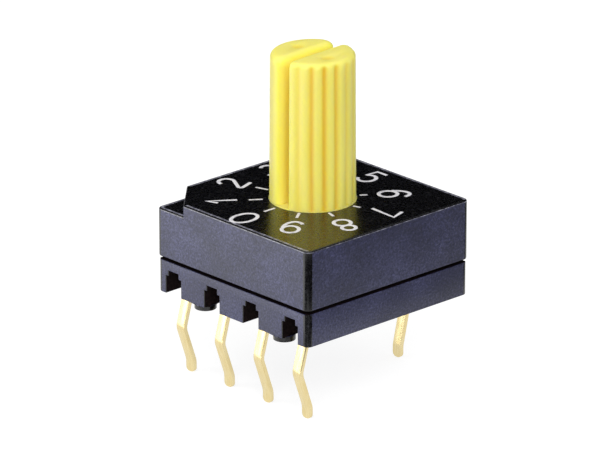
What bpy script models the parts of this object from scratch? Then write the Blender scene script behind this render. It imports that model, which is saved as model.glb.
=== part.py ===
"""Ten-position rotary code switch for a circuit board, with a tall split shaft.

Metres, +Z up. The switch stands on the tips of its five terminals at z = 0, with the
shaft's axis on the Z axis. The row of four terminals faces -Y, and the index corner
lies at -X -Y. Heights named "above the underside" start at the base's underside.
"""

import bpy
import bmesh
from math import atan, cos, pi, radians, sin, tan
from mathutils import Matrix, Vector

mm = 0.001

# Outer block
body_side = 9.86 * mm
body_height = 4.50 * mm  # underside of the base to the top face
upright_edge_radius = 0.18 * mm
edge_round = 0.04 * mm
base_edge_height = 1.53 * mm  # visible height of the base
base_inset = 0.03 * mm  # how far the base's sides stand behind the cover's
seam_height = 0.15 * mm
index_cut_along_x = 1.80 * mm
index_cut_along_y = 1.83 * mm
index_cut_depth = 0.54 * mm

# Inside of the cover
cover_wall = 0.85 * mm
cover_roof = 0.80 * mm
chamber_corner_radius = 1.50 * mm
spigot_pocket_wall = 0.66 * mm
spigot_corner_radius = 0.60 * mm
spigot_rise = 0.80 * mm  # above the base's visible edge
bore_gap = 0.06 * mm  # round the shaft's collar
seal_section = 0.50 * mm

# Inside of the base
floor_height = 1.90 * mm  # above the underside
well_wall = 0.45 * mm
well_corner_radius = 1.20 * mm
pivot_radius = 0.50 * mm
pivot_rise = 1.30 * mm

# Notches and feet under the base
notch_width = 0.985 * mm
notch_height = 0.85 * mm
notch_neck_width = 0.65 * mm
notch_neck_height = 1.11 * mm
notch_depth = 1.10 * mm
notch_shift = -0.05 * mm  # from its terminal's centre
foot_radius = 0.50 * mm
foot_height = 0.22 * mm
foot_spacing = 5.16 * mm
foot_shift = 0.30 * mm  # towards +X, from the middle of the base

# Terminals
terminal_pitch = 2.54 * mm
row_spacing = 7.62 * mm
terminal_width = 0.52 * mm
terminal_thickness = 0.20 * mm
terminal_reach = 3.85 * mm  # below the underside
terminal_setback = 0.87 * mm  # of its centre from the base's side, where it leaves the base
kink_out = 0.67 * mm
kink_drop = 1.60 * mm  # kink below the underside
kink_end_drop = 3.30 * mm  # where the strip turns upright again
kink_radius = 0.55 * mm
tip_bend_radius = 0.90 * mm
tip_spread = 0.08 * mm  # how far the row's tips stand outside their nominal spacing
lone_tip_spread = 0.28 * mm
tail_bend_radius = 0.20 * mm
tail_run = 0.30 * mm  # level stretch before the tail turns sideways
tip_round = 0.20 * mm

# Shaft
shaft_foot_radius = 1.94 * mm
shaft_top_radius = 1.90 * mm
shaft_rise = 6.87 * mm  # above the cover's top face
shaft_rim_round = 0.26 * mm
collar_step = 0.01 * mm
collar_rise = 0.04 * mm
slot_width = 0.72 * mm
slot_turn = radians(3)  # anticlockwise from the detent wheel's first valley
flute_count = 8
flute_step = radians(18)
flute_radius = 0.18 * mm
flute_depth = 0.13 * mm
flute_top_margin = 0.34 * mm
dimple_radius = 0.31 * mm
dimple_depth = 0.07 * mm
dimple_offset = 1.05 * mm

# Detent
positions = 10
wheel_radius = 3.15 * mm
wheel_wave = 0.15 * mm
wheel_height = 0.80 * mm
hub_radius = 1.00 * mm
spring_thickness = 0.10 * mm
spring_flex_room = 0.45 * mm
spring_nose_radius = 0.30 * mm
spring_nose_half_length = 0.62 * mm
spring_end_from_axis = 2.45 * mm
spring_end_bend = 0.45 * mm
spring_margin = 0.07 * mm  # above and below the spring

# Contacts
weld_from_axis = 2.95 * mm  # along Y
outer_weld = 2.95 * mm  # along X; the inner welds stand over their terminals
touch_1 = 2.25 * mm  # along X, where each contact touches its ring of the code plate
touch_2 = 0.95 * mm
touch_4 = 0.75 * mm
touch_8 = 2.00 * mm
touch_common = 0.90 * mm
plate_thickness = 0.16 * mm
first_ring_radius = 1.40 * mm
ring_step = 0.38 * mm
window_width = 0.26 * mm
plate_rim = 0.05 * mm  # outside the outermost window
contact_land = radians(3)  # lost at each end of a window
contact_width = 0.30 * mm
contact_thickness = 0.10 * mm
contact_tip_radius = 0.20 * mm
contact_pad_length = 0.50 * mm
contact_tip_length = 0.30 * mm

# Clearances
fit_gap = 0.02 * mm  # between pieces fixed to each other
running_gap = 0.03 * mm  # between pieces that slide past each other
end_play = 0.04 * mm
beyond = 0.30 * mm  # how far a cutter runs past what it cuts

# Heights
underside = terminal_reach
base_edge_top = underside + base_edge_height
cover_bottom = base_edge_top + seam_height
body_top = underside + body_height
ledge = body_top - index_cut_depth
ceiling = body_top - cover_roof
spigot_top = base_edge_top + spigot_rise
floor_top = underside + floor_height
wheel_top = ceiling - end_play
wheel_bottom = wheel_top - wheel_height
plate_top = wheel_bottom - fit_gap
plate_bottom = plate_top - plate_thickness
contact_top = plate_bottom - running_gap
hub_bottom = floor_top + end_play
pivot_top = floor_top + pivot_rise
seal_middle = wheel_top + fit_gap + seal_section / 2
gland_top = seal_middle + seal_section / 2 + fit_gap
collar_top = body_top + collar_rise
shaft_top = body_top + shaft_rise
tail_middle = floor_top - terminal_thickness / 2
spring_bottom = wheel_bottom + spring_margin
spring_top = ceiling - spring_margin

# Widths
body_half = body_side / 2
base_half = body_half - base_inset
chamber_half = body_half - cover_wall
pocket_half = body_half - spigot_pocket_wall
spigot_half = pocket_half - 2 * fit_gap
well_half = spigot_half - well_wall
collar_radius = shaft_foot_radius + collar_step
bore_radius = collar_radius + bore_gap
seal_radius = collar_radius + fit_gap + seal_section / 2
gland_radius = seal_radius + seal_section / 2 + fit_gap
row_half = row_spacing / 2
entry = base_half - terminal_setback
step_angle = 2 * pi / positions

# Each terminal: its place along the row in pitches, the side it is on, the x of the weld
# to its contact, and the x at which that contact touches its ring of the code plate.
# Weights 1, 2, 4 and 8 are the code's bits, and weight 0 is the common terminal.
terminals = {
    "terminal_1": dict(weight=1, place=-1.5, side=-1, weld=-outer_weld, touch=-touch_1, ring=4),
    "terminal_2": dict(weight=2, place=-0.5, side=-1, weld=-terminal_pitch / 2, touch=-touch_2, ring=2),
    "terminal_4": dict(weight=4, place=0.5, side=-1, weld=terminal_pitch / 2, touch=touch_4, ring=1),
    "terminal_8": dict(weight=8, place=1.5, side=-1, weld=outer_weld, touch=touch_8, ring=3),
    "terminal_common": dict(weight=0, place=0.5, side=1, weld=terminal_pitch / 2, touch=touch_common, ring=0),
}

materials = {
    "black_plastic": dict(colour=(0.020, 0.020, 0.026), roughness=0.50, metallic=0.0),
    "yellow_plastic": dict(colour=(0.88, 0.76, 0.10), roughness=0.40, metallic=0.0),
    "gold_plate": dict(colour=(0.93, 0.74, 0.38), roughness=0.25, metallic=1.0),
    "spring_steel": dict(colour=(0.60, 0.60, 0.61), roughness=0.30, metallic=1.0),
    "seal_rubber": dict(colour=(0.015, 0.015, 0.015), roughness=0.70, metallic=0.0),
}


def make_material(name):
    values = materials[name]
    material = bpy.data.materials.new(name)
    material.use_nodes = True
    shader = material.node_tree.nodes["Principled BSDF"]
    shader.inputs["Base Color"].default_value = (*values["colour"], 1.0)
    shader.inputs["Roughness"].default_value = values["roughness"]
    shader.inputs["Metallic"].default_value = values["metallic"]
    return material


def make_object(name, bm, material=None):
    """Turns a closed bmesh into an object, its faces pointing out."""
    bmesh.ops.recalc_face_normals(bm, faces=bm.faces)
    mesh = bpy.data.meshes.new(name)
    bm.to_mesh(mesh)
    bm.free()
    mesh.shade_smooth()
    mesh.set_sharp_from_angle(angle=radians(30))
    if material:
        mesh.materials.append(bpy.data.materials[material])
    piece = bpy.data.objects.new(name, mesh)
    bpy.context.collection.objects.link(piece)
    return piece


def combine(piece, tool_name, bm, operation):
    """Adds a solid to a piece, or cuts it away, with a live Boolean."""
    tool = make_object(tool_name, bm)
    tool.hide_render = True
    tool.display_type = "WIRE"
    tool.parent = piece
    modifier = piece.modifiers.new(tool_name, "BOOLEAN")
    modifier.operation = operation
    modifier.solver = "EXACT"
    modifier.object = tool


def cut(piece, tool_name, bm):
    combine(piece, tool_name, bm, "DIFFERENCE")


def join(piece, tool_name, bm):
    combine(piece, tool_name, bm, "UNION")


def prism(outline, low, high, bm=None):
    """A straight solid on a flat outline, between two heights."""
    bm = bm or bmesh.new()
    face = bm.faces.new([bm.verts.new((x, y, low)) for x, y in outline])
    raised = bmesh.ops.extrude_face_region(bm, geom=[face])["geom"]
    corners = [item for item in raised if isinstance(item, bmesh.types.BMVert)]
    bmesh.ops.translate(bm, verts=corners, vec=(0, 0, high - low))
    return bm


def box(low, high, bm=None):
    outline = [(low[0], low[1]), (high[0], low[1]), (high[0], high[1]), (low[0], high[1])]
    return prism(outline, low[2], high[2], bm)


def circle(radius, centre=(0, 0), steps=32):
    turns = [2 * pi * step / steps for step in range(steps)]
    return [(centre[0] + radius * cos(turn), centre[1] + radius * sin(turn)) for turn in turns]


def rounded_square(half, radius, steps=5):
    """The outline of a square with round corners, centred on the shaft's axis."""
    outline = []
    for quarter in range(4):
        middle = pi / 4 + quarter * pi / 2
        centre_x = (half - radius) * (1 if cos(middle) > 0 else -1)
        centre_y = (half - radius) * (1 if sin(middle) > 0 else -1)
        for step in range(steps + 1):
            turn = quarter * pi / 2 + step / steps * pi / 2
            outline.append((centre_x + radius * cos(turn), centre_y + radius * sin(turn)))
    return outline


def sector(inner, outer, start, end):
    """The outline of a piece of a ring."""
    steps = max(2, round((end - start) / radians(6)))
    turns = [start + (end - start) * step / steps for step in range(steps + 1)]
    far = [(outer * cos(turn), outer * sin(turn)) for turn in turns]
    near = [(inner * cos(turn), inner * sin(turn)) for turn in reversed(turns)]
    return far + near


def revolve(profile, steps=48, closed=False):
    """Spins a profile of radius and height pairs round the shaft's axis."""
    bm = bmesh.new()
    points = [bm.verts.new((radius, 0, height)) for radius, height in profile]
    edges = [bm.edges.new(pair) for pair in zip(points, points[1:])]
    if closed:
        edges.append(bm.edges.new((points[-1], points[0])))
    bmesh.ops.spin(
        bm, geom=points + edges, cent=(0, 0, 0), axis=(0, 0, 1), angle=2 * pi, steps=steps, use_merge=True
    )
    bmesh.ops.remove_doubles(bm, verts=bm.verts, dist=fit_gap / 1000)
    return bm


def arc(centre, radius, start, end, steps):
    turns = [start + (end - start) * step / steps for step in range(steps + 1)]
    return [(centre[0] + radius * cos(turn), centre[1] + radius * sin(turn)) for turn in turns]


def rounded_path(corners, radii, steps=4):
    """A path through the corners, each turned into an arc of its own radius, or left sharp at 0."""
    points = [Vector(corner) for corner in corners]
    path = [points[0]]
    for before, corner, after, radius in zip(points, points[1:], points[2:], radii):
        into = (corner - before).normalized()
        onward = (after - corner).normalized()
        if not radius:
            path.append(corner)
            continue
        turn = into.angle(onward)
        centre = corner + (onward - into).normalized() * radius / cos(turn / 2)
        spoke = corner - into * radius * tan(turn / 2) - centre
        axis = into.cross(onward).normalized()
        for step in range(steps + 1):
            path.append(centre + Matrix.Rotation(turn * step / steps, 3, axis) @ spoke)
    path.append(points[-1])
    return path


def ribbon(path, width, thickness, side, bm=None):
    """A bent strip of metal: one section carried along a path, mitred at each point.

    side is the direction of the strip's width at its first point.
    """
    bm = bm or bmesh.new()
    headings = [(after - before).normalized() for before, after in zip(path, path[1:])]
    side = Vector(side)
    rings = []
    for index, point in enumerate(path):
        before = headings[max(index - 1, 0)]
        after = headings[min(index, len(headings) - 1)]
        flat = before.cross(side)
        mitre = (before + after).normalized()
        ring = []
        for across, through in ((-1, -1), (1, -1), (1, 1), (-1, 1)):
            offset = side * across * width / 2 + flat * through * thickness / 2
            slide = -offset.dot(mitre) / before.dot(mitre)
            ring.append(bm.verts.new(point + offset + before * slide))
        rings.append(ring)
        side = before.rotation_difference(after) @ side
    bm.faces.new(rings[0])
    bm.faces.new(rings[-1])
    for near, far in zip(rings, rings[1:]):
        for corner in range(4):
            following = (corner + 1) % 4
            bm.faces.new((near[corner], near[following], far[following], far[corner]))
    return bm


def round_edges(bm, edges, radius, segments=2):
    bmesh.ops.bevel(
        bm, geom=edges, offset=radius, segments=segments, profile=0.5, affect="EDGES", clamp_overlap=True
    )


def rim_edges(bm, height):
    """The outer edges that lie at one height."""
    return [edge for edge in bm.edges if all(abs(v.co.z - height) < fit_gap / 10 for v in edge.verts)]


def terminal_path(place, side, weld, margin=0.0):
    """From the tip up through the kink and the base, then level to the weld."""
    x = place * terminal_pitch
    tip = row_half + (lone_tip_spread if side > 0 else tip_spread)
    corners = [
        (x, side * tip, -margin),
        (x, side * tip, underside - kink_end_drop),
        (x, side * (row_half + kink_out), underside - kink_drop),
        (x, side * entry, underside),
        (x, side * entry, tail_middle),
        (x, side * (entry - tail_bend_radius - tail_run), tail_middle),
        (weld, side * (weld_from_axis + contact_pad_length / 2), tail_middle),
        (weld, side * (weld_from_axis - contact_pad_length / 2), tail_middle),
    ]
    if abs(x - weld) < fit_gap:
        corners[5:] = [(x, side * (weld_from_axis - contact_pad_length / 2), tail_middle)]
    radii = [tip_bend_radius, kink_radius, kink_radius, tail_bend_radius, 0, 0]
    return rounded_path(corners, radii)


def build_terminal(name, place, side, weld):
    bm = ribbon(terminal_path(place, side, weld), terminal_width, terminal_thickness, (1, 0, 0))
    tip = [edge for edge in rim_edges(bm, 0.0) if abs(edge.verts[0].co.x - edge.verts[1].co.x) < fit_gap]
    round_edges(bm, tip, tip_round, 4)
    return make_object(name, bm, "gold_plate")


def touch_point(side, touch, ring):
    """Where a contact meets its ring of the code plate."""
    radius = first_ring_radius + ring * ring_step
    return Vector((touch, side * (radius**2 - touch**2) ** 0.5, 0))


def build_contact(name, side, weld, touch, ring):
    """A wiper: a pad on the terminal's tail, a rising arm and a rounded tip under its ring."""
    tip = touch_point(side, touch, ring)
    pad = Vector((weld, side * weld_from_axis, 0))
    forward = (tip - pad).normalized()
    low = floor_top + fit_gap + contact_thickness / 2
    high = contact_top - contact_thickness / 2
    run = (tip - pad).length - contact_pad_length / 2
    slope = atan((high - low) / run)
    peak = high + contact_tip_radius * (1 / cos(slope) - 1)
    up = Vector((0, 0, 1))
    corners = [
        pad - forward * contact_pad_length / 2 + up * low,
        pad + forward * contact_pad_length / 2 + up * low,
        tip + up * peak,
        tip + forward * contact_tip_length + up * (peak - contact_tip_length * tan(slope)),
    ]
    path = rounded_path(corners, [contact_tip_radius, contact_tip_radius])
    return make_object(name, ribbon(path, contact_width, contact_thickness, forward.cross(up)), "gold_plate")


def code_windows():
    """Each ring's stretches without contact, as ring number, start and end angle.

    The rotor turns clockwise from 0 to 9, so the plate's angle over a contact grows.
    """
    windows = []
    for values in terminals.values():
        weight = values["weight"]
        if not weight:
            continue
        point = touch_point(values["side"], values["touch"], values["ring"])
        middle = Vector((1, 0)).angle_signed(point.to_2d()) * -1
        off = [not position & weight for position in range(positions)]
        for first in range(positions):
            if not off[first] or off[first - 1]:
                continue
            length = 1
            while off[(first + length) % positions]:
                length += 1
            start = middle + (first - 0.5) * step_angle + contact_land
            end = middle + (first + length - 0.5) * step_angle - contact_land
            windows.append((values["ring"], start, end))
    return windows


def window_prisms(low, high, shrink):
    bm = bmesh.new()
    for ring, start, end in code_windows():
        radius = first_ring_radius + ring * ring_step
        half = window_width / 2 - shrink
        turn = shrink / radius
        prism(sector(radius - half, radius + half, start + turn, end - turn), low, high, bm)
    return bm


def build_cover():
    bm = prism(rounded_square(body_half, upright_edge_radius), cover_bottom, ledge)
    round_edges(bm, rim_edges(bm, cover_bottom), edge_round)
    roof = max(bm.faces, key=lambda face: face.calc_center_median().z)
    corner = Vector((-body_half, -body_half, ledge))
    along = Vector((index_cut_along_x, -index_cut_along_y, 0)).normalized()
    bmesh.ops.bisect_plane(
        bm,
        geom=[roof, *roof.edges, *roof.verts],
        plane_co=corner + Vector((index_cut_along_x, 0, 0)),
        plane_no=along.cross(Vector((0, 0, 1))),
    )
    level = [face for face in bm.faces if abs(face.calc_center_median().z - ledge) < fit_gap / 10]
    main = max(level, key=lambda face: face.calc_area())
    raised = bmesh.ops.extrude_face_region(bm, geom=[main])["geom"]
    corners = [item for item in raised if isinstance(item, bmesh.types.BMVert)]
    bmesh.ops.translate(bm, verts=corners, vec=(0, 0, index_cut_depth))
    bmesh.ops.delete(bm, geom=[main], context="FACES_ONLY")
    bmesh.ops.dissolve_limit(bm, angle_limit=radians(1), verts=bm.verts, edges=bm.edges)
    round_edges(bm, rim_edges(bm, body_top), edge_round)
    cover = make_object("cover", bm, "black_plastic")
    below = cover_bottom - beyond
    chamber = rounded_square(chamber_half, chamber_corner_radius, 8)
    cut(cover, "rotor_chamber", prism(chamber, below, ceiling))
    shoulder = spigot_top + end_play
    cut(cover, "spigot_pocket", prism(rounded_square(pocket_half, spigot_corner_radius), below, shoulder))
    bore = [
        (0, body_top + beyond),
        (bore_radius, body_top + beyond),
        (bore_radius, gland_top),
        (gland_radius, gland_top),
        (gland_radius, ceiling - beyond),
        (0, ceiling - beyond),
    ]
    cut(cover, "bore_and_seal_gland", revolve(bore, 64))
    return cover


def notch_outline(middle):
    """The stepped opening of a notch, as x and height above the underside."""
    half = notch_width / 2
    neck = notch_neck_width / 2
    return [
        (middle - half, -beyond),
        (middle + half, -beyond),
        (middle + half, notch_height),
        (middle + neck, notch_height),
        (middle + neck, notch_neck_height),
        (middle - neck, notch_neck_height),
        (middle - neck, notch_height),
        (middle - half, notch_height),
    ]


def notch_prisms():
    bm = bmesh.new()
    for values in terminals.values():
        middle = values["place"] * terminal_pitch + notch_shift
        before = set(bm.verts)
        prism(notch_outline(middle), base_half - notch_depth, base_half + beyond, bm)
        added = [vert for vert in bm.verts if vert not in before]
        for vert in added:
            x, height, depth = vert.co
            vert.co = (x, values["side"] * depth, underside + height)
    return bm


def terminal_channels():
    """The room that the base leaves for each terminal."""
    bm = bmesh.new()
    for values in terminals.values():
        path = terminal_path(values["place"], values["side"], values["weld"], beyond)
        ribbon(path, terminal_width + 2 * fit_gap, terminal_thickness + 2 * fit_gap, (1, 0, 0), bm)
    return bm


def build_base():
    bm = prism(rounded_square(base_half, upright_edge_radius), underside, base_edge_top)
    round_edges(bm, rim_edges(bm, base_edge_top), edge_round)
    base = make_object("base", bm, "black_plastic")
    spigot = rounded_square(spigot_half, spigot_corner_radius)
    join(base, "spigot", prism(spigot, base_edge_top - beyond, spigot_top))
    well = rounded_square(well_half, well_corner_radius, 8)
    cut(base, "contact_well", prism(well, floor_top, spigot_top + beyond))
    join(base, "pivot", prism(circle(pivot_radius), floor_top - beyond, pivot_top))
    rests = bmesh.new()
    for side_x in (-1, 1):
        for side_y in (-1, 1):
            near_y = spring_end_from_axis - spring_end_bend
            near = (side_x * (chamber_half - spring_end_bend), side_y * near_y)
            far = (side_x * (chamber_half - 2 * fit_gap), side_y * spring_end_from_axis)
            low = (min(near[0], far[0]), min(near[1], far[1]), floor_top - beyond)
            high = (max(near[0], far[0]), max(near[1], far[1]), spring_bottom - fit_gap)
            box(low, high, rests)
    join(base, "spring_rests", rests)
    cut(base, "terminal_channels", terminal_channels())
    cut(base, "notches", notch_prisms())
    feet = bmesh.new()
    for place in (-1, 1):
        for side in (-1, 1):
            middle = (place * foot_spacing / 2 + foot_shift, side * (base_half - foot_radius))
            prism(circle(foot_radius, middle), underside - foot_height, underside + fit_gap, feet)
    join(base, "feet", feet)
    return base


def shaft_profile():
    """The rotor's round outline from the top of the shaft down to its pivot bore."""
    rim_centre = (shaft_top_radius - shaft_rim_round, shaft_top - shaft_rim_round)
    rim = arc(rim_centre, shaft_rim_round, pi / 2, 0, 4)
    wheel_middle = (wheel_top + wheel_bottom) / 2
    bore = pivot_radius + running_gap
    return [
        (0, shaft_top),
        *rim,
        (shaft_foot_radius, collar_top),
        (collar_radius, collar_top),
        (collar_radius, wheel_middle),
        (hub_radius, wheel_middle),
        (hub_radius, hub_bottom),
        (bore, hub_bottom),
        (bore, pivot_top + end_play),
        (0, pivot_top + end_play),
    ]


def wheel_outline(steps_per_position=12):
    """The detent wheel: a wave with one valley for each position, the first at +X."""
    outline = []
    for step in range(positions * steps_per_position):
        turn = step / steps_per_position * step_angle
        radius = wheel_radius - wheel_wave * cos(positions * turn)
        outline.append((radius * cos(turn), radius * sin(turn)))
    return outline


def flute_cutters():
    """Round-nosed grooves that follow the shaft's taper, on its +X half."""
    bm = bmesh.new()
    length = shaft_rise - flute_top_margin - collar_rise
    lean = atan((shaft_foot_radius - shaft_top_radius) / shaft_rise)
    nose = arc((0, length - flute_radius), flute_radius, pi / 2, 0, 4)
    profile = [(0, length), *nose[1:], (flute_radius, 0), (0, 0)]
    foot = shaft_foot_radius + flute_radius - flute_depth
    for index in range(flute_count):
        turn = (index - (flute_count - 1) / 2) * flute_step
        groove = revolve(profile, 16)
        place = Matrix.Rotation(turn, 4, "Z") @ Matrix.Translation((foot, 0, collar_top))
        bmesh.ops.transform(groove, matrix=place @ Matrix.Rotation(-lean, 4, "Y"), verts=groove.verts)
        piece = bpy.data.meshes.new("groove")
        groove.to_mesh(piece)
        groove.free()
        bm.from_mesh(piece)
        bpy.data.meshes.remove(piece)
    return bm


def build_rotor():
    """Shaft, collar, detent wheel and hub in one moulding."""
    rotor = make_object("rotor", revolve(shaft_profile(), 72), "yellow_plastic")
    join(rotor, "detent_wheel", prism(wheel_outline(), wheel_bottom, wheel_top))
    bore = pivot_radius + running_gap
    cut(rotor, "pivot_bore", prism(circle(bore, steps=72), hub_bottom - beyond, pivot_top + end_play))
    join(rotor, "window_pads", window_prisms(plate_bottom, wheel_bottom + fit_gap, fit_gap))
    cut(rotor, "flutes", flute_cutters())
    reach = 2 * collar_radius
    slot = box((-slot_width / 2, -reach, collar_top), (slot_width / 2, reach, shaft_top + beyond))
    dimples = bmesh.new()
    for side in (-1, 1):
        middle = (side * dimple_offset, 0)
        prism(circle(dimple_radius, middle, 24), shaft_top - dimple_depth, shaft_top + beyond, dimples)
    for tool_name, bm in (("slot", slot), ("dimples", dimples)):
        bmesh.ops.rotate(bm, verts=bm.verts, matrix=Matrix.Rotation(slot_turn, 3, "Z"))
        cut(rotor, tool_name, bm)
    return rotor


def build_code_plate():
    outer = first_ring_radius + max(v["ring"] for v in terminals.values()) * ring_step
    outer += window_width / 2 + plate_rim
    bm = prism(circle(outer, steps=64), plate_bottom, plate_top)
    plate = make_object("code_plate", bm, "gold_plate")
    hole = circle(hub_radius + fit_gap, steps=48)
    cut(plate, "hub_hole", prism(hole, plate_bottom - beyond, plate_top + beyond))
    cut(plate, "windows", window_prisms(plate_bottom - beyond, plate_top + beyond, 0.0))
    return plate


def build_shaft_seal():
    section = arc((seal_radius, seal_middle), seal_section / 2, 0, -2 * pi, 14)[:-1]
    return make_object("shaft_seal", revolve(section, 48, closed=True), "seal_rubber")


def build_detent_spring(name, side):
    """A leaf on edge: its nose sits in a valley of the wheel, its ends lean on the cover's wall."""
    back = chamber_half - spring_flex_room - spring_thickness / 2
    end = chamber_half - fit_gap - spring_thickness / 2
    nose = wheel_radius - wheel_wave + fit_gap + spring_thickness / 2
    slope = atan((back - nose) / spring_nose_half_length)
    nose_corner = nose - spring_nose_radius * (1 / cos(slope) - 1)
    middle = (spring_bottom + spring_top) / 2
    half = [
        (back, spring_nose_half_length),
        (back, spring_end_from_axis - spring_end_bend),
        (end, spring_end_from_axis - fit_gap),
    ]
    plan = [(x, -y) for x, y in reversed(half)] + [(nose_corner, 0)] + half
    corners = [(side * x, y, middle) for x, y in plan]
    bends = [spring_nose_radius / 2] * 2
    path = rounded_path(corners, [*bends, spring_nose_radius, *bends])
    leaf = ribbon(path, spring_top - spring_bottom, spring_thickness, (0, 0, 1))
    return make_object(name, leaf, "spring_steel")


def main():
    for piece in list(bpy.data.objects):
        bpy.data.objects.remove(piece)
    for name in materials:
        make_material(name)
    build_cover()
    build_base()
    for name, values in terminals.items():
        build_terminal(name, values["place"], values["side"], values["weld"])
        contact = name.replace("terminal", "contact")
        build_contact(contact, values["side"], values["weld"], values["touch"], values["ring"])
    build_shaft_seal()
    build_detent_spring("detent_spring_left", -1)
    build_detent_spring("detent_spring_right", 1)
    rotor_axis = bpy.data.objects.new("rotor_axis", None)
    bpy.context.collection.objects.link(rotor_axis)
    for piece in (build_rotor(), build_code_plate()):
        piece.parent = rotor_axis


main()
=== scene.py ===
# Dressed scene of a ten-position rotary code switch for a circuit board.
# Metres, +Z up, the shaft's axis on Z, and the tips of the terminals at z = 0.

from math import asin, atan2, cos, degrees, pi, radians, sin, sqrt

import bmesh
import bpy
from mathutils import Matrix, Vector


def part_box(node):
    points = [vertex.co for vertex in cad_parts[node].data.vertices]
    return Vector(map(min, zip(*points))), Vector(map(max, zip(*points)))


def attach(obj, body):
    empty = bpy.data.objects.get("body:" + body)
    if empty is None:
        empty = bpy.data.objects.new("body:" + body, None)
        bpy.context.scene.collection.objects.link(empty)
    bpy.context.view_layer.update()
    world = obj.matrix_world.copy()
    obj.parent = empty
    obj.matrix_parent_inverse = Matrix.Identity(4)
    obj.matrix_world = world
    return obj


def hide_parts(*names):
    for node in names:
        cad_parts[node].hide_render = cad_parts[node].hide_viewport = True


mm = 0.001
weld = 0.0005 * mm  # vertices nearer than this are one
hardEdge = radians(60)  # edges sharper than this are broken
slanted = 0.05  # a normal with more than this of both X and Y is on a rounded corner

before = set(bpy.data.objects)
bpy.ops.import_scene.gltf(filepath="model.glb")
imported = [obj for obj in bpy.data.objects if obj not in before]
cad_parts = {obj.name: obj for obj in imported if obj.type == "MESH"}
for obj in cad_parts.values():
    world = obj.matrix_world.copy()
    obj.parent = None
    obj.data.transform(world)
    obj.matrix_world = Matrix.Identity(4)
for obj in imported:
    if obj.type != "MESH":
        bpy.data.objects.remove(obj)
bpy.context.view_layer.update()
print("frame loaded:", len(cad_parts), "nodes")


# Small helpers

def colour(hexValue):
    # sRGB hex to linear
    parts = [int(hexValue[place:place + 2], 16) / 255 for place in (1, 3, 5)]
    linear = [part / 12.92 if part <= 0.04045 else ((part + 0.055) / 1.055) ** 2.4
              for part in parts]
    return (*linear, 1.0)


def addNode(material, kind, inputs=None, stops=(), **settings):
    # stops are the places on a colour ramp, each with a hex colour or a grey value
    made = material.node_tree.nodes.new(kind)
    for name, value in settings.items():
        setattr(made, name, value)
    for index, (place, shade) in enumerate(stops):
        ramp = made.color_ramp.elements
        stop = ramp[index] if index < 2 else ramp.new(place)
        stop.position = place
        stop.color = colour(shade) if isinstance(shade, str) else (shade, shade, shade, 1)
    for socket, value in (inputs or {}).items():
        if isinstance(value, bpy.types.NodeSocket):
            material.node_tree.links.new(value, made.inputs[socket])
        else:
            made.inputs[socket].default_value = value
    return made


def newMaterial(name, **sockets):
    # a Principled material with its constants on the shader's own sockets
    material = bpy.data.materials.new(name)
    material.use_nodes = True
    shader = material.node_tree.nodes["Principled BSDF"]
    for socket, value in sockets.items():
        shader.inputs[socket.replace("_", " ")].default_value = value
    return material, shader


def feed(material, shader, **sources):
    # links node outputs to the shader's sockets
    for socket, source in sources.items():
        material.node_tree.links.new(source, shader.inputs[socket.replace("_", " ")])


def solidFrom(bm, name):
    mesh = bpy.data.meshes.new(name)
    bm.to_mesh(mesh)
    bm.free()
    made = bpy.data.objects.new(name, mesh)
    bpy.context.scene.collection.objects.link(made)
    return made


def carve(bm, tools):
    # applies Booleans to a closed bmesh: tools is a list of (operation, closed bmesh)
    body = solidFrom(bm, "carvedBody")
    helpers = []
    for operation, tool in tools:
        helper = solidFrom(tool, "carvingTool")
        helpers.append(helper)
        modifier = body.modifiers.new("carve", "BOOLEAN")
        modifier.operation = operation
        modifier.solver = "EXACT"
        modifier.object = helper
    evaluated = body.evaluated_get(bpy.context.evaluated_depsgraph_get())
    result = bmesh.new()
    result.from_mesh(evaluated.to_mesh())
    evaluated.to_mesh_clear()
    for made in [body, *helpers]:
        bpy.data.objects.remove(made)
    bmesh.ops.remove_doubles(result, verts=result.verts, dist=weld)
    return result


def finishPiece(name, bm, materials, body, replaced=(), sharpAngle=30):
    mesh = bpy.data.meshes.new(name)
    bm.to_mesh(mesh)
    bm.free()
    mesh.shade_smooth()
    mesh.set_sharp_from_angle(angle=radians(sharpAngle))
    for material in materials:
        mesh.materials.append(material)
    piece = bpy.data.objects.new(name, mesh)
    bpy.context.scene.collection.objects.link(piece)
    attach(piece, body)
    if replaced:
        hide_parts(*replaced)


def block(low, high):
    bm = bmesh.new()
    size = Vector(high) - Vector(low)
    place = Matrix.Translation((Vector(high) + Vector(low)) / 2) @ Matrix.Diagonal((*size, 1))
    bmesh.ops.create_cube(bm, size=1, matrix=place)
    return bm


def uprightEdges(bm):
    return [edge for edge in bm.edges
            if abs(edge.verts[0].co.x - edge.verts[1].co.x) < 1e-7
            and abs(edge.verts[0].co.y - edge.verts[1].co.y) < 1e-7]


def levelEdges(bm, height):
    return [edge for edge in bm.edges
            if all(abs(vert.co.z - height) < 1e-6 for vert in edge.verts)]


def roundEdges(bm, edges, radius, segments):
    bmesh.ops.bevel(bm, geom=edges, offset=radius, offset_type="OFFSET", segments=segments,
                    profile=0.5, affect="EDGES", material=-1, clamp_overlap=False)


def roundedBlock(low, high, radius, segments=6):
    bm = block(low, high)
    roundEdges(bm, uprightEdges(bm), radius, segments)
    return bm


def rod(radius, low, high):
    bm = bmesh.new()
    bmesh.ops.create_cone(bm, cap_ends=True, segments=96, radius1=radius, radius2=radius,
                          depth=high - low, matrix=Matrix.Translation((0, 0, (high + low) / 2)))
    return bm


def cadCopy(node):
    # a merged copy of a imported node's mesh, with its flat faces made whole
    bm = bmesh.new()
    bm.from_mesh(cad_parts[node].data)
    bmesh.ops.remove_doubles(bm, verts=bm.verts, dist=weld)
    bmesh.ops.dissolve_limit(bm, angle_limit=radians(1), verts=bm.verts, edges=bm.edges)
    return bm


# Heights: the cover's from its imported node, and the base's underside, which is above its feet

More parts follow.
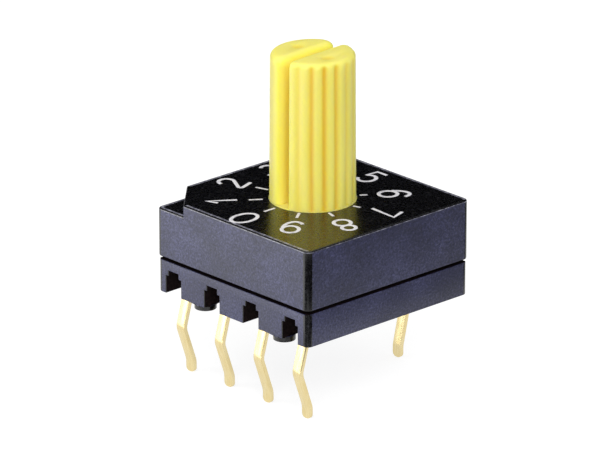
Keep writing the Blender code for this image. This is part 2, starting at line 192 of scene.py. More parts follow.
coverLow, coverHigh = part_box("cover")
bodyTop = coverHigh.z
underside = 3.85 * mm


# Materials

# Glass-filled PBT, moulded in spark-eroded steel: a dull blue-black skin with a fine even grain,
# drawn at 0.10 mm, a little coarser than real, so that it shows
mouldedPbt, shader = newMaterial("mouldedPbtEroded", Specular_IOR_Level=0.8)
place = addNode(mouldedPbt, "ShaderNodeTexCoord")
grain = addNode(mouldedPbt, "ShaderNodeTexNoise",
                {"Vector": place.outputs["Object"], "Scale": 1 / (0.10 * mm), "Detail": 3.0,
                 "Roughness": 0.7})
patches = addNode(mouldedPbt, "ShaderNodeTexNoise",
                  {"Vector": place.outputs["Object"], "Scale": 1 / (2.5 * mm), "Detail": 1.0})
mixed = addNode(mouldedPbt, "ShaderNodeMix",
                {"Factor": 0.25, "A": grain.outputs["Fac"], "B": patches.outputs["Fac"]})
shade = addNode(mouldedPbt, "ShaderNodeValToRGB", {"Fac": mixed.outputs["Result"]},
                stops=[(0.34, "#171930"), (0.5, "#292b4b"), (0.68, "#4a4d76")])
gloss = addNode(mouldedPbt, "ShaderNodeValToRGB", {"Fac": grain.outputs["Fac"]},
                stops=[(0.3, 0.56), (0.7, 0.38)])
bump = addNode(mouldedPbt, "ShaderNodeBump",
               {"Height": grain.outputs["Fac"], "Strength": 1.0, "Distance": 0.03 * mm})
feed(mouldedPbt, shader, Base_Color=shade.outputs["Color"], Roughness=gloss.outputs["Color"],
     Normal=bump.outputs["Normal"])

# The same plastic where the mould is polished, on the top: black, with a soft shine and a few fine
# specks. On the rounded upright corners the same black is painted shade, a dark strip
polishedTopAndCornerShadePbt, shader = newMaterial("mouldedPbtPolishedTopAndCornerShade", Specular_IOR_Level=0.6)
place = addNode(polishedTopAndCornerShadePbt, "ShaderNodeTexCoord")
specks = addNode(polishedTopAndCornerShadePbt, "ShaderNodeTexNoise",
                 {"Vector": place.outputs["Object"], "Scale": 1 / (0.12 * mm), "Detail": 4.0,
                  "Roughness": 0.7})
shade = addNode(polishedTopAndCornerShadePbt, "ShaderNodeValToRGB", {"Fac": specks.outputs["Fac"]},
                stops=[(0.56, "#060609"), (0.74, "#2a2a32")])
gloss = addNode(polishedTopAndCornerShadePbt, "ShaderNodeValToRGB", {"Fac": specks.outputs["Fac"]},
                stops=[(0.3, 0.20), (0.7, 0.34)])
bump = addNode(polishedTopAndCornerShadePbt, "ShaderNodeBump",
               {"Height": specks.outputs["Fac"], "Strength": 0.12, "Distance": 0.01 * mm})
feed(polishedTopAndCornerShadePbt, shader, Base_Color=shade.outputs["Color"], Roughness=gloss.outputs["Color"],
     Normal=bump.outputs["Normal"])

# Painted highlight: the same plastic on rounded edges and the top's rims, paler in a broken line
# that stands in for the light these edges catch
paintedHighlightPbt, shader = newMaterial("mouldedPbtPaintedHighlight", Roughness=0.32, Specular_IOR_Level=0.6)
place = addNode(paintedHighlightPbt, "ShaderNodeTexCoord")
highlightBreaks = addNode(paintedHighlightPbt, "ShaderNodeTexNoise",
               {"Vector": place.outputs["Object"], "Scale": 1 / (0.22 * mm), "Detail": 3.0,
                "Roughness": 0.7})
shade = addNode(paintedHighlightPbt, "ShaderNodeValToRGB", {"Fac": highlightBreaks.outputs["Fac"]},
                stops=[(0.38, "#454552"), (0.52, "#747482"), (0.66, "#a2a2b0")])
feed(paintedHighlightPbt, shader, Base_Color=shade.outputs["Color"])

# The same plastic inside the notches and the seam, where no light reaches it
shadedPbt, shader = newMaterial("mouldedPbtShaded", Roughness=0.8, Specular_IOR_Level=0.06)
place = addNode(shadedPbt, "ShaderNodeTexCoord")
grain = addNode(shadedPbt, "ShaderNodeTexNoise",
                {"Vector": place.outputs["Object"], "Scale": 1 / (0.15 * mm), "Detail": 2.0})
shade = addNode(shadedPbt, "ShaderNodeValToRGB", {"Fac": grain.outputs["Fac"]},
                stops=[(0.4, "#0e0809"), (0.7, "#1d1315")])
feed(shadedPbt, shader, Base_Color=shade.outputs["Color"])

# Yellow acetal, moulded: light goes a little way in. A vertex attribute is 0 in the slot, 0.5 on
# the plain round and 1 in the deepest groove, and the ramp over it paints light and shade: a paler
# yellow on the slot's walls, painted light, and a deeper orange in grooves and dimples, painted
# shade
yellowAcetal, shader = newMaterial("yellowAcetalMoulded", Roughness=0.42, Specular_IOR_Level=0.45,
                                   Subsurface_Weight=0.9, Subsurface_Radius=(0.9, 0.85, 0.2),
                                   Subsurface_Scale=0.8 * mm)
place = addNode(yellowAcetal, "ShaderNodeTexCoord")
flow = addNode(yellowAcetal, "ShaderNodeMapping",
               {"Vector": place.outputs["Object"], "Scale": (1.0, 1.0, 0.3)})
cloud = addNode(yellowAcetal, "ShaderNodeTexNoise",
                {"Vector": flow.outputs["Vector"], "Scale": 1 / (1.2 * mm), "Detail": 3.0})
shade = addNode(yellowAcetal, "ShaderNodeValToRGB", {"Fac": cloud.outputs["Fac"]},
                stops=[(0.3, "#fbf078"), (0.7, "#fef486")])
paintedHollowShade = addNode(yellowAcetal, "ShaderNodeAttribute", attribute_name="paintedHollowShade")
deep = addNode(yellowAcetal, "ShaderNodeValToRGB", {"Fac": paintedHollowShade.outputs["Fac"]},
                stops=[(0.0, "#fff3e0"), (0.25, "#fffdd2"), (0.5, "#f3f3f3"), (0.7, "#f3eed4"),
                       (1.0, "#f0dc98")])
shade = addNode(yellowAcetal, "ShaderNodeVectorMath",
                {0: shade.outputs["Color"], 1: deep.outputs["Color"]}, operation="MULTIPLY")
skin = addNode(yellowAcetal, "ShaderNodeTexNoise",
               {"Vector": place.outputs["Object"], "Scale": 1 / (0.08 * mm), "Detail": 2.0})
bump = addNode(yellowAcetal, "ShaderNodeBump",
               {"Height": skin.outputs["Fac"], "Strength": 0.10, "Distance": 0.01 * mm})
feed(yellowAcetal, shader, Base_Color=shade.outputs["Vector"], Normal=bump.outputs["Normal"])

# Gold flash over nickel on punched bronze strip: pale yellow, with faint drawn lines along the
# strip, coarser than real so that they show
goldFlash, shader = newMaterial("goldFlashOnBronze", Metallic=1.0)
place = addNode(goldFlash, "ShaderNodeTexCoord")
stretched = addNode(goldFlash, "ShaderNodeMapping",
                    {"Vector": place.outputs["Object"], "Scale": (1.0, 0.12, 0.12)})
lines = addNode(goldFlash, "ShaderNodeTexNoise",
                {"Vector": stretched.outputs["Vector"], "Scale": 1 / (0.07 * mm), "Detail": 2.0})
shade = addNode(goldFlash, "ShaderNodeValToRGB", {"Fac": lines.outputs["Fac"]},
                stops=[(0.3, "#e3cf97"), (0.7, "#ebdbab")])
gloss = addNode(goldFlash, "ShaderNodeValToRGB", {"Fac": lines.outputs["Fac"]},
                stops=[(0.3, 0.17), (0.7, 0.25)])
bump = addNode(goldFlash, "ShaderNodeBump",
               {"Height": lines.outputs["Fac"], "Strength": 0.03, "Distance": 0.01 * mm})
feed(goldFlash, shader, Base_Color=shade.outputs["Color"], Roughness=gloss.outputs["Color"],
     Normal=bump.outputs["Normal"])

# Rolled stainless spring strip: grey, with fine lines along its length, coarser than real
springSteel, shader = newMaterial("springSteelRolled", Metallic=1.0)
place = addNode(springSteel, "ShaderNodeTexCoord")
stretched = addNode(springSteel, "ShaderNodeMapping",
                    {"Vector": place.outputs["Object"], "Scale": (1.0, 0.1, 1.0)})
lines = addNode(springSteel, "ShaderNodeTexNoise",
                {"Vector": stretched.outputs["Vector"], "Scale": 1 / (0.05 * mm), "Detail": 2.0})
shade = addNode(springSteel, "ShaderNodeValToRGB", {"Fac": lines.outputs["Fac"]},
                stops=[(0.3, "#b9bbbe"), (0.7, "#d2d3d5")])
gloss = addNode(springSteel, "ShaderNodeValToRGB", {"Fac": lines.outputs["Fac"]},
                stops=[(0.3, 0.25), (0.7, 0.38)])
feed(springSteel, shader, Base_Color=shade.outputs["Color"], Roughness=gloss.outputs["Color"])

# Moulded nitrile rubber: matte black with a slight bloom
sealRubber, shader = newMaterial("nitrileRubberMoulded", Roughness=0.7, Specular_IOR_Level=0.4)
place = addNode(sealRubber, "ShaderNodeTexCoord")
bloom = addNode(sealRubber, "ShaderNodeTexNoise",
                {"Vector": place.outputs["Object"], "Scale": 1 / (0.4 * mm), "Detail": 3.0})
shade = addNode(sealRubber, "ShaderNodeValToRGB", {"Fac": bloom.outputs["Fac"]},
                stops=[(0.4, "#17171a"), (0.7, "#26262a")])
feed(sealRubber, shader, Base_Color=shade.outputs["Color"])

# Pad-printed ink: off-white, thin enough for the black to dull it a little where it is starved
padInk, shader = newMaterial("padPrintedInk", Roughness=0.55, Specular_IOR_Level=0.4)
place = addNode(padInk, "ShaderNodeTexCoord")
starved = addNode(padInk, "ShaderNodeTexNoise",
                  {"Vector": place.outputs["Object"], "Scale": 1 / (0.15 * mm), "Detail": 3.0})
shade = addNode(padInk, "ShaderNodeValToRGB", {"Fac": starved.outputs["Fac"]},
                stops=[(0.3, "#b6b5c0"), (0.5, "#dcdbe2")])
feed(padInk, shader, Base_Color=shade.outputs["Color"])
print("materials made")


# Camera, at the photograph's place and lens

cameraPlace = dict(azimuth=46.99, elevation=20.57, distance=291.9, lensPixels=6555.3,
                   imageWidth=600, sideways=-0.570, aboveUnderside=3.186)
turn, rise = radians(cameraPlace["azimuth"]), radians(cameraPlace["elevation"])
back = Vector((sin(turn) * cos(rise), -cos(turn) * cos(rise), sin(rise)))
target = Vector((cos(turn), sin(turn), 0)) * cameraPlace["sideways"] * mm
target.z = underside + cameraPlace["aboveUnderside"] * mm
lens = bpy.data.cameras.new("camera")
lens.sensor_width = 36.0
lens.lens = lens.sensor_width * cameraPlace["lensPixels"] / cameraPlace["imageWidth"]
lens.clip_start = 0.01
lens.clip_end = 10.0
camera = bpy.data.objects.new("camera", lens)
camera.location = target + back * cameraPlace["distance"] * mm
camera.rotation_euler = (-back).to_track_quat("-Z", "Y").to_euler()
bpy.context.scene.collection.objects.link(camera)
bpy.context.scene.camera = camera


# Studio: a white world, a pale floor, two soft boxes, and a black wall and cards that gloss alone
# sees. Lengths are in millimetres, angles in degrees, and a card is its left, near, right and far
# side.

studio = dict(worldLight=0.74, floorHalf=900.0, floorSeen=0.80, floorInGloss=0.76,
              keyAzimuth=-41, keyElevation=13, keySide=100.0, keyPower=0.117,
              fillAzimuth=48, fillElevation=35, fillSide=125.0, fillPower=0.222,
              boxDistance=200.0, boxAim=7,
              wallFrom=-75.0, wallTo=205.0, wallRadius=90.0, wallHeight=110.0,
              greyCard=(9.5, 5.0, 45.0, 35.0), blackCard=(13.0, -34.0, 45.0, 5.0),
              frontCard=(2.0, -34.0, 13.0, -12.5), whiteCard=(-34.0, -44.0, 2.0, -13.0),
              cardBottom=0.1, cardTop=0.2, whiteGlow=2.2)


def softBox(name, azimuth, elevation, side, power):
    turn, rise = radians(azimuth), radians(elevation)
    towards = Vector((sin(turn) * cos(rise), -cos(turn) * cos(rise), sin(rise)))
    light = bpy.data.lights.new(name, "AREA")
    light.shape = "SQUARE"
    light.size = side * mm
    light.energy = power
    lamp = bpy.data.objects.new(name, light)
    lamp.location = (Vector((0, 0, studio["boxAim"] * mm))
                     + towards * studio["boxDistance"] * mm)
    lamp.rotation_euler = towards.to_track_quat("Z", "Y").to_euler()
    bpy.context.scene.collection.objects.link(lamp)


for lampName in ("key", "fill"):
    softBox(lampName + "SoftBox", studio[lampName + "Azimuth"], studio[lampName + "Elevation"],
            studio[lampName + "Side"], studio[lampName + "Power"])

# The world is white to the camera, gloss and glass, and dimmer as a light
world = bpy.data.worlds.new("whiteStudio")
bpy.context.scene.world = world
world.use_nodes = True
rays = addNode(world, "ShaderNodeLightPath")
seen = addNode(world, "ShaderNodeMath",
               {0: rays.outputs["Is Camera Ray"], 1: rays.outputs["Is Glossy Ray"]},
               operation="MAXIMUM")
seen = addNode(world, "ShaderNodeMath",
               {0: seen.outputs[0], 1: rays.outputs["Is Transmission Ray"]}, operation="MAXIMUM")
strength = addNode(world, "ShaderNodeMapRange",
                   {"Value": seen.outputs[0], "To Min": studio["worldLight"], "To Max": 1.0})
background = world.node_tree.nodes["Background"]
world.node_tree.links.new(strength.outputs["Result"], background.inputs["Strength"])
background.inputs["Color"].default_value = (1, 1, 1, 1)

# Matt paper sweep: grey as a surface, so that it throws little light up at the part, and with a
# glow that makes it near white to the camera and to gloss
paperFloor, shader = newMaterial("paperFloor", Roughness=0.9, Specular_IOR_Level=0.0)
shader.inputs["Base Color"].default_value = colour("#969696")
rays = addNode(paperFloor, "ShaderNodeLightPath")
glow = addNode(paperFloor, "ShaderNodeMath",
               {0: rays.outputs["Is Glossy Ray"], 1: studio["floorInGloss"]}, operation="MULTIPLY")
glow = addNode(paperFloor, "ShaderNodeMath",
               {0: rays.outputs["Is Camera Ray"], 1: studio["floorSeen"], 2: glow.outputs[0]},
               operation="MULTIPLY_ADD")
shader.inputs["Emission Color"].default_value = (1, 1, 1, 1)
feed(paperFloor, shader, Emission_Strength=glow.outputs[0])
floorMesh = bmesh.new()
bmesh.ops.create_grid(floorMesh, x_segments=1, y_segments=1, size=studio["floorHalf"] * mm)
studioFloor = solidFrom(floorMesh, "studioFloor")
studioFloor.data.materials.append(paperFloor)

# Matt black, dark grey and glowing white papers: the dark and bright places that the gold and the
# plastic's shine mirror
blackPaper, shader = newMaterial("blackPaper", Roughness=1.0, Specular_IOR_Level=0.0)
shader.inputs["Base Color"].default_value = colour("#050505")
greyPaper, shader = newMaterial("greyPaper", Roughness=1.0, Specular_IOR_Level=0.0)
shader.inputs["Base Color"].default_value = colour("#303030")
whitePaper, shader = newMaterial("whitePaper", Roughness=1.0, Specular_IOR_Level=0.0,
                                 Emission_Strength=studio["whiteGlow"], Emission_Color=(1, 1, 1, 1))
shader.inputs["Base Color"].default_value = colour("#101010")


def stageCard(name, bm, paper):
    # seen by gloss alone
    card = solidFrom(bm, name)
    card.data.materials.append(paper)
    card.visible_camera = False
    card.visible_diffuse = False
    card.visible_transmission = False
    card.visible_shadow = False


wall = bmesh.new()
wallFrom = radians(studio["wallFrom"])
start = Vector((cos(wallFrom), sin(wallFrom), 0)) * studio["wallRadius"] * mm
corners = [wall.verts.new(start + Vector((0, 0, height * mm)))
           for height in (studio["cardTop"], studio["wallHeight"])]
bmesh.ops.spin(wall, geom=[*corners, wall.edges.new(corners)], cent=(0, 0, 0), axis=(0, 0, 1),
               steps=48, angle=radians(studio["wallTo"] - studio["wallFrom"]))
stageCard("blackWall", wall, blackPaper)
for name, paper in (("greyCard", greyPaper), ("blackCard", blackPaper), ("frontCard", blackPaper),
                    ("whiteCard", whitePaper)):
    left, near, right, far = (value * mm for value in studio[name])
    sheet = block((left, near, studio["cardBottom"] * mm), (right, far, studio["cardTop"] * mm))
    stageCard(name, sheet, paper)

bpy.context.scene.view_settings.view_transform = "Standard"
print("camera and studio made")


# Cover: the square housing with its index corner, bore and hollow inside. A block runs on into the
# next by lap, and a carving tool out of the plastic by toolBelow or toolBeyond, for clean cuts.

cover = dict(side=9.86, uprightRadius=0.29, edgeRadius=0.08, rimWidth=0.12,
             cutAlongX=1.80, cutAlongY=1.83, cutDepth=0.54,
             wall=0.85, roof=0.80, chamberRadius=1.5,
             pocketWall=0.66, pocketRadius=0.60, shoulder=2.37,
             boreRadius=1.985, glandRadius=2.49, glandRise=0.58,
             lap=0.2, toolBelow=0.5, toolBeyond=0.3)


def rimmedBlock(low, high, edges, cut=None):
    # an upright block, cut off beyond a plane where one is given, with its level edges rounded at
    # the given heights and a narrow flat rim round its top face
    bm = roundedBlock(low, high, cover["uprightRadius"] * mm, 8)
    if cut:
        bmesh.ops.bisect_plane(bm, geom=[*bm.verts, *bm.edges, *bm.faces], plane_co=cut[0],
                               plane_no=cut[1], clear_outer=True)
        bmesh.ops.holes_fill(bm, edges=[edge for edge in bm.edges if edge.is_boundary])
        bmesh.ops.recalc_face_normals(bm, faces=bm.faces)
    for height in edges:
        roundEdges(bm, levelEdges(bm, height), cover["edgeRadius"] * mm, 4)
    lid = max(bm.faces, key=lambda face: face.calc_center_median().z)
    bmesh.ops.inset_region(bm, faces=[lid], thickness=cover["rimWidth"] * mm,
                           use_even_offset=True)
    return bm


def buildCover():
    half = cover["side"] * mm / 2
    ledge = bodyTop - cover["cutDepth"] * mm
    cutPoint = Vector((cover["cutAlongX"] * mm - half, -half, ledge))
    cutNormal = Vector((-cover["cutAlongY"], -cover["cutAlongX"], 0)).normalized()
    lap, beyond = cover["lap"] * mm, cover["toolBeyond"] * mm
    bm = rimmedBlock((-half, -half, coverLow.z), (half, half, ledge), [coverLow.z, ledge])
    upper = rimmedBlock((-half, -half, ledge - lap), (half, half, bodyTop), [bodyTop],
                        (cutPoint, cutNormal))
    below = coverLow.z - cover["toolBelow"] * mm
    ceiling = bodyTop - cover["roof"] * mm
    chamber = half - cover["wall"] * mm
    pocket = half - cover["pocketWall"] * mm
    shoulder = underside + cover["shoulder"] * mm
    tools = [
        roundedBlock((-chamber, -chamber, below), (chamber, chamber, ceiling),
                     cover["chamberRadius"] * mm),
        roundedBlock((-pocket, -pocket, below), (pocket, pocket, shoulder),
                     cover["pocketRadius"] * mm),
        rod(cover["boreRadius"] * mm, ceiling - beyond, bodyTop + beyond),
        rod(cover["glandRadius"] * mm, ceiling - beyond, ceiling + cover["glandRise"] * mm),
    ]
    bm = carve(bm, [("UNION", upper), *[("DIFFERENCE", tool) for tool in tools]])
    finishes = [mouldedPbt, polishedTopAndCornerShadePbt, shadedPbt, paintedHighlightPbt]
    rimFrom = half - (cover["edgeRadius"] + cover["rimWidth"]) * mm
    for face in bm.faces:
        middle = face.calc_center_median()
        facing = face.normal.z  # 1 looks up, 0 sideways and -1 down
        cornered = min(abs(face.normal.x), abs(face.normal.y)) > slanted
        if facing < -0.3:
            finish = shadedPbt
        elif middle.z > ledge - 0.1 * mm and facing > 0.1:
            # painted highlight on the rim's three lit sides; on the side of +X it stays black like
            # the top
            paintedHighlightRim = max(abs(middle.y), -middle.x) > rimFrom and facing > 0.999
            finish = paintedHighlightPbt if facing < 0.4 or paintedHighlightRim else polishedTopAndCornerShadePbt
        # painted shade: the rounded upright corners take the black top finish as a dark strip
        elif cornered and max(abs(middle.x), abs(middle.y)) > half - cover["uprightRadius"] * mm:
            finish = polishedTopAndCornerShadePbt
        else:
            finish = mouldedPbt
        face.material_index = finishes.index(finish)
    finishPiece("coverHousing", bm, finishes, "housing", ["cover"])


buildCover()
print("cover made")


# Base: block with stepped notches, feet and the channels of the terminals. Below edgeHeight its
# outer edges are broken, and what lies deeper than skin under the cover's sides is in shade.

base = dict(edgeRadius=0.03, edgeHeight=1.53, skin=0.15, uprightRadius=0.29)


def buildBase():
    edgeTop = underside + base["edgeHeight"] * mm
    baseLow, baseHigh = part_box("base")
    # a micron wider and a millimetre longer than the base, so it trims only the upright corners
    hair = Vector((0.001, 0.001, 1)) * mm
    rounded = roundedBlock(baseLow - hair, baseHigh + hair, base["uprightRadius"] * mm, 8)
    bm = carve(cadCopy("base"), [("INTERSECT", rounded)])
    bm.normal_update()
    reach = baseHigh.x - 0.05 * mm  # a face further out is on one of the four sides

    def outside(face):
        # the underside and the four sides, without the feet
        middle = face.calc_center_median()
        if abs(face.normal.z) > 0.9:
            return abs(middle.z - underside) < 0.001 * mm
        return (max(abs(face.normal.x), abs(face.normal.y)) > 0.99 and middle.z > underside
                and max(abs(middle.x), abs(middle.y)) > reach)

    outer = [edge for edge in bm.edges
             if len(edge.link_faces) == 2 and edge.calc_face_angle() > hardEdge
             and all(vert.co.z < edgeTop + 0.01 * mm for vert in edge.verts)
             and any(outside(face) for face in edge.link_faces)]
    roundEdges(bm, outer, base["edgeRadius"] * mm, 2)
    finishes = [mouldedPbt, shadedPbt, polishedTopAndCornerShadePbt]
    for face in bm.faces:
        middle = face.calc_center_median()
        inside = max(abs(middle.x), abs(middle.y)) < coverHigh.x - base["skin"] * mm
        below = middle.z < underside + 0.02 * mm
        if middle.z > edgeTop - 0.005 * mm or inside and not below:
            finish = shadedPbt
        # painted shade: the rounded upright corners take the black top finish as a dark strip
        elif min(abs(face.normal.x), abs(face.normal.y)) > slanted:
            finish = polishedTopAndCornerShadePbt
        else:
            finish = mouldedPbt
        face.material_index = finishes.index(finish)
    finishPiece("baseMoulding", bm, finishes, "housing", ["base"])


buildBase()
print("base made")


# Rotor: the split and fluted shaft, with its collar and detent wheel. Pairs of values are for the
# fluted half and the plain one.

shaft = dict(footRadius=1.94, topRadius=1.90, rise=6.87, sunk=0.02, rimRadius=0.26,
             collarRadius=1.965, collarRise=0.03, collarEdge=0.02,
             slotTurn=3.0, wallAt=(0.22, 0.30), mouthEdge=(0.20, 0.30), topEdge=(0.12, 0.30),
             flutePitch=18.0, fluteDepths=(0.06, 0.13, 0.15, 0.13, 0.07, 0.06, 0.06, 0.05),
             fluteShape=1.6, fluteFade=0.28,
             dimpleRadius=0.34, dimpleDepth=0.05, dimples=((1.10, -0.20), (-0.90, 0.0)),
             wheelDepth=0.84, slotShadeFade=0.3, dimpleShade=0.6, dimpleBand=0.1)


def fluteDepthAt(angle, height):
    # how far the surface lies behind the plain round, at an angle from +X in degrees
    depths = shaft["fluteDepths"]
    place = angle / shaft["flutePitch"] + len(depths) / 2
    if not 0 < place < len(depths):
        return 0.0
    across = 0.5 - 0.5 * cos(2 * pi * place)
    fade = min(max((shaft["rise"] - height) / shaft["fluteFade"], 0), 1)
    # a higher fluteShape leaves narrower grooves and broader ridges
    return depths[int(place)] * across ** shaft["fluteShape"] * fade * fade * (3 - 2 * fade)


def halfOutline(side, height, rimInset, edgeInset):
    # one half of the split shaft at a height above the cover, in millimetres
    share = height / shaft["rise"]
    radius = shaft["footRadius"] + (shaft["topRadius"] - shaft["footRadius"]) * share - rimInset
    half = 0 if side > 0 else 1
    wall = shaft["wallAt"][half] + edgeInset
    corner = shaft["mouthEdge"][half]
    cornerX = wall + corner
    cornerY = sqrt((radius - corner) ** 2 - cornerX ** 2)
    start = asin(cornerY / (radius - corner))
    roundSteps, cornerSteps, wallSteps = 128, 6, 12
    outline = []
    for step in range(roundSteps + 1):
        angle = -start + 2 * start * step / roundSteps
        bearing = (angle if side > 0 else angle + pi) * 180 / pi + shaft["slotTurn"]
        depth = fluteDepthAt((bearing + 180) % 360 - 180, height)
        outline.append(((radius - depth) * cos(angle), (radius - depth) * sin(angle)))
    for step in range(1, cornerSteps + 1):
        angle = start + (pi - start) * step / cornerSteps
        outline.append((cornerX + corner * cos(angle), cornerY + corner * sin(angle)))
    for step in range(1, wallSteps):
        outline.append((wall, cornerY * (1 - 2 * step / wallSteps)))
    for step in range(cornerSteps):
        angle = pi + (pi - start) * step / cornerSteps
        outline.append((cornerX + corner * cos(angle), -cornerY + corner * sin(angle)))
    turned = radians(shaft["slotTurn"]) + (0 if side > 0 else pi)
    return [((x * cos(turned) - y * sin(turned)) * mm, (x * sin(turned) + y * cos(turned)) * mm)
            for x, y in outline]


def shaftHalf(side):
    # levels are heights above the cover, with how far the rim and the slot's edge draw in there
    levels = [(-shaft["sunk"], 0, 0)]
    straightSteps, rimSteps = 30, 8
    rim, edge = shaft["rimRadius"], shaft["topEdge"][0 if side > 0 else 1]
    for step in range(1, straightSteps + 1):
        levels.append(((shaft["rise"] - rim) * step / straightSteps, 0, 0))
    for step in range(1, rimSteps + 1):
        angle = pi / 2 * step / rimSteps
        height = shaft["rise"] - rim + rim * sin(angle)
        over = max(0.0, (height - (shaft["rise"] - edge)) / edge)
        drawnIn = edge * (1 - sqrt(max(0.0, 1 - over * over)))
        levels.append((height, rim * (1 - cos(angle)), drawnIn))
    bm = bmesh.new()
    height, rimInset, edgeInset = levels[0]
    points = halfOutline(side, 0, rimInset, edgeInset)
    ring = [bm.verts.new((x, y, bodyTop + height * mm)) for x, y in points]
    face = bm.faces.new(ring)
    for level, (height, rimInset, edgeInset) in enumerate(levels[1:]):
        raised = bmesh.ops.extrude_face_region(bm, geom=[face])["geom"]
        if level > 0:  # only the lowest face stays, to close the foot
            bm.faces.remove(face)
        face = next(item for item in raised if isinstance(item, bmesh.types.BMFace))
        for vert, (x, y) in zip(face.verts, halfOutline(side, height, rimInset, edgeInset)):
            vert.co = (x, y, bodyTop + height * mm)
    bmesh.ops.recalc_face_normals(bm, faces=bm.faces)
    return bm


def spun(profile):
    # a turned solid from its profile of radii and heights in millimetres
    bm = bmesh.new()
    points = [bm.verts.new((radius * mm, 0, height * mm)) for radius, height in profile]
    edges = [bm.edges.new(pair) for pair in zip(points, points[1:])]
    bmesh.ops.spin(bm, geom=points + edges, cent=(0, 0, 0), axis=(0, 0, 1), angle=2 * pi,
                   steps=144, use_merge=True)
    bmesh.ops.remove_doubles(bm, verts=bm.verts, dist=weld)
    bmesh.ops.recalc_face_normals(bm, faces=bm.faces)
    return bm


def buildShaft():
    wheelTop = bodyTop / mm - shaft["wheelDepth"]
    collarTop = bodyTop / mm + shaft["collarRise"]
    edge = shaft["collarEdge"]
    collar = spun([(0, collarTop), (shaft["collarRadius"] - edge, collarTop),
                   (shaft["collarRadius"], collarTop - edge),
                   (shaft["collarRadius"], wheelTop + edge), (0, wheelTop + edge)])
    tools = [("UNION", shaftHalf(side)) for side in (1, -1)]
    # the ball that leaves a dimple of the given radius and depth
    radius = (shaft["dimpleRadius"] ** 2 + shaft["dimpleDepth"] ** 2) / (2 * shaft["dimpleDepth"])
    turned = Matrix.Rotation(radians(shaft["slotTurn"]), 3, "Z")
    dimples = [turned @ Vector((x, y, 0)) for x, y in shaft["dimples"]]
    for dimple in dimples:
        ball = bmesh.new()
        above = shaft["rise"] + radius - shaft["dimpleDepth"]
        middle = dimple * mm + Vector((0, 0, bodyTop + above * mm))
        bmesh.ops.create_icosphere(ball, subdivisions=5, radius=radius * mm,
                                   matrix=Matrix.Translation(middle))
        tools.append(("DIFFERENCE", ball))
    bm = carve(collar, tools)
    # painted light and shade: 0.5 on the plain round, less in the slot, paler there, and more in
    # flutes and dimples, a deeper orange there
    paintedHollowShade = bm.verts.layers.float.new("paintedHollowShade")
    for vert in bm.verts:
        local = turned.inverted() @ Vector((vert.co.x, vert.co.y, 0)) / mm
        height = (vert.co.z - bodyTop) / mm
        half = 0 if local.x > 0 else 1
        inSlot = 1 - (abs(local.x) - shaft["wallAt"][half]) / shaft["mouthEdge"][half]
        underTop = min(max((shaft["rise"] - height) / shaft["slotShadeFade"], 0), 1)
        inSlot = min(max(inSlot, 0), 1) * underTop
        bearing = degrees(atan2(vert.co.y, vert.co.x))
        flute = fluteDepthAt(bearing, height) / max(shaft["fluteDepths"])
        for dimple in dimples:
            away = (dimple - vert.co.xy.to_3d() / mm).length
            if away < shaft["dimpleRadius"] and height > shaft["rise"] - shaft["dimpleBand"]:
                flute = shaft["dimpleShade"] * (shaft["rise"] - height) / shaft["dimpleDepth"]
        vert[paintedHollowShade] = 0.5 - 0.5 * inSlot + 0.5 * flute * (1 - inSlot)
    finishPiece("splitShaft", bm, [yellowAcetal], "rotor", ["rotor"], 20)
    # the wheel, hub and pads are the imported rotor's, cut off just above the wheel
    wheel = cadCopy("rotor")
    bmesh.ops.bisect_plane(wheel, geom=[*wheel.verts, *wheel.edges, *wheel.faces],
                           plane_co=(0, 0, (wheelTop + 0.01) * mm), plane_no=(0, 0, 1),
                           clear_outer=True)
    bmesh.ops.holes_fill(wheel, edges=[edge for edge in wheel.edges if edge.is_boundary])
    finishPiece("detentWheel", wheel, [yellowAcetal], "rotor", ["rotor"])


buildShaft()
print("rotor made")


# Terminals: punched strips with broken edges

terminal = dict(edgeRadius=0.03)


def buildTerminal(node):
    bm = cadCopy(node)
    bm.normal_update()
    edges = [edge for edge in bm.edges
             if len(edge.link_faces) == 2 and edge.calc_face_angle() > hardEdge]
    roundEdges(bm, edges, terminal["edgeRadius"] * mm, 2)
    finishPiece(node.replace("terminal_", "terminalPin"), bm, [goldFlash], "housing", [node])


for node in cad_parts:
    if node.startswith("terminal_"):
        buildTerminal(node)
print("terminals made")


# Dial print: ten digits and ten ticks in ink

dial = dict(digitRadius=3.85, offset=(-0.15, -0.15), halfHeight=0.68, stroke=0.175,
            tickStroke=0.13, tickFrom=2.03, tickTo=2.66, clearRadius=2.10, thickness=0.012,
            firstAngle=-90, step=36.0)


def bow(x, y, radiusX, radiusY, start, end, steps=18):
    # part of an ellipse, from one angle to another in degrees
    return [(x + radiusX * cos(radians(start + (end - start) * step / steps)),
             y + radiusY * sin(radians(start + (end - start) * step / steps)))
            for step in range(steps + 1)]


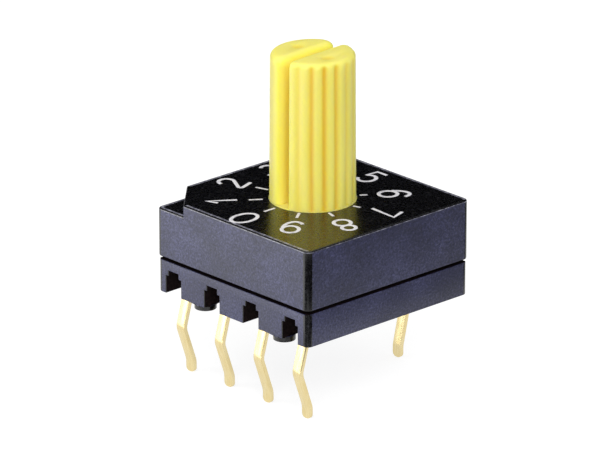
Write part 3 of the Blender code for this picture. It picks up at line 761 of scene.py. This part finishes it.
def digitStrokes(digit):
    # the pen's path for each digit, in millimetres round its centre, top up
    high = dial["halfHeight"]
    strokes = {
        0: [bow(0, 0, 0.46, high, 0, 360, 36)],
        1: [[(-0.22, 0.20), (0.06, high), (0.06, -high)]],
        2: [[*bow(0, high - 0.36, 0.36, 0.36, 170, -35),
             *bow(-0.26, -high + 0.12, 0.12, 0.12, 155, 270, 6), (0.42, -high)]],
        3: [[*bow(-0.02, high - 0.32, 0.33, 0.32, 160, -80), (-0.08, 0.03)],
            [(-0.08, 0.03), *bow(-0.02, -high + 0.36, 0.38, 0.36, 80, -160)]],
        4: [[(0.20, -high), (0.20, high)], [(0.20, high), (-0.42, -0.26)],
            [(-0.42, -0.26), (0.44, -0.26)]],
        5: [[(0.34, high), (-0.27, high), (-0.33, 0.06),
             *bow(0, -high + 0.44, 0.40, 0.44, 130, -150)]],
        6: [bow(0.08, -0.10, 0.46, 0.80, 42, 178), bow(0, -high + 0.42, 0.38, 0.42, 0, 360, 36)],
        7: [[(-0.38, high), (0.38, high), (-0.14, -high)]],
        8: [bow(0, high - 0.30, 0.31, 0.30, 0, 360, 30),
            bow(0, -high + 0.38, 0.38, 0.38, 0, 360, 36)],
        9: [bow(-0.08, 0.10, 0.46, 0.80, -138, -2), bow(0, high - 0.42, 0.38, 0.42, 0, 360, 36)],
    }
    return strokes[digit]


def inkLines(name, lines, stroke):
    # flat rounded lines on the cover's top
    curve = bpy.data.curves.new(name, "CURVE")
    curve.dimensions = "3D"
    curve.bevel_depth = stroke / 2 * mm
    curve.bevel_resolution = 2
    curve.use_fill_caps = True
    for line in lines:
        closed = (Vector(line[0]) - Vector(line[-1])).length < 0.001
        points = line[:-1] if closed else line
        spline = curve.splines.new("POLY")
        spline.points.add(len(points) - 1)
        spline.use_cyclic_u = closed
        for point, (x, y) in zip(spline.points, points):
            point.co = (x * mm, y * mm, 0, 1)
    holder = bpy.data.objects.new(name, curve)
    bpy.context.scene.collection.objects.link(holder)
    evaluated = holder.evaluated_get(bpy.context.evaluated_depsgraph_get())
    bm = bmesh.new()
    bm.from_mesh(evaluated.to_mesh())
    evaluated.to_mesh_clear()
    bpy.data.objects.remove(holder)
    bmesh.ops.scale(bm, vec=(1, 1, dial["thickness"] / (stroke / 2)), verts=bm.verts)
    bmesh.ops.translate(bm, vec=(0, 0, bodyTop), verts=bm.verts)
    finishPiece(name, bm, [padInk], "housing")


def buildDial():
    centre = Vector(dial["offset"])
    for digit in range(10):
        angle = radians(dial["firstAngle"] - dial["step"] * digit)
        out = Vector((cos(angle), sin(angle)))
        across = Vector((out.y, -out.x))
        middle = centre + out * dial["digitRadius"]
        lines = [[tuple(middle + across * x + out * y) for x, y in line]
                 for line in digitStrokes(digit)]
        inkLines("dialDigit" + str(digit), lines, dial["stroke"])
        # the dial's centre is beside the shaft's, so a far tick starts later, clear of the bore
        aside = centre.dot(out)
        clear = sqrt(dial["clearRadius"] ** 2 + aside ** 2 - centre.length_squared) - aside
        tick = [tuple(centre + out * reach)
                for reach in (max(dial["tickFrom"], clear), dial["tickTo"])]
        inkLines("dialTick" + str(digit), [tick], dial["tickStroke"])


buildDial()
print("dial printed")


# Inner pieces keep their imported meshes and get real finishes

innerFinish = {"code_plate": goldFlash, "shaft_seal": sealRubber, "detent_spring": springSteel,
               "contact": goldFlash}
for name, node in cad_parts.items():
    for start, material in innerFinish.items():
        if name.startswith(start):
            node.data.materials.clear()
            node.data.materials.append(material)
print("inner pieces finished")
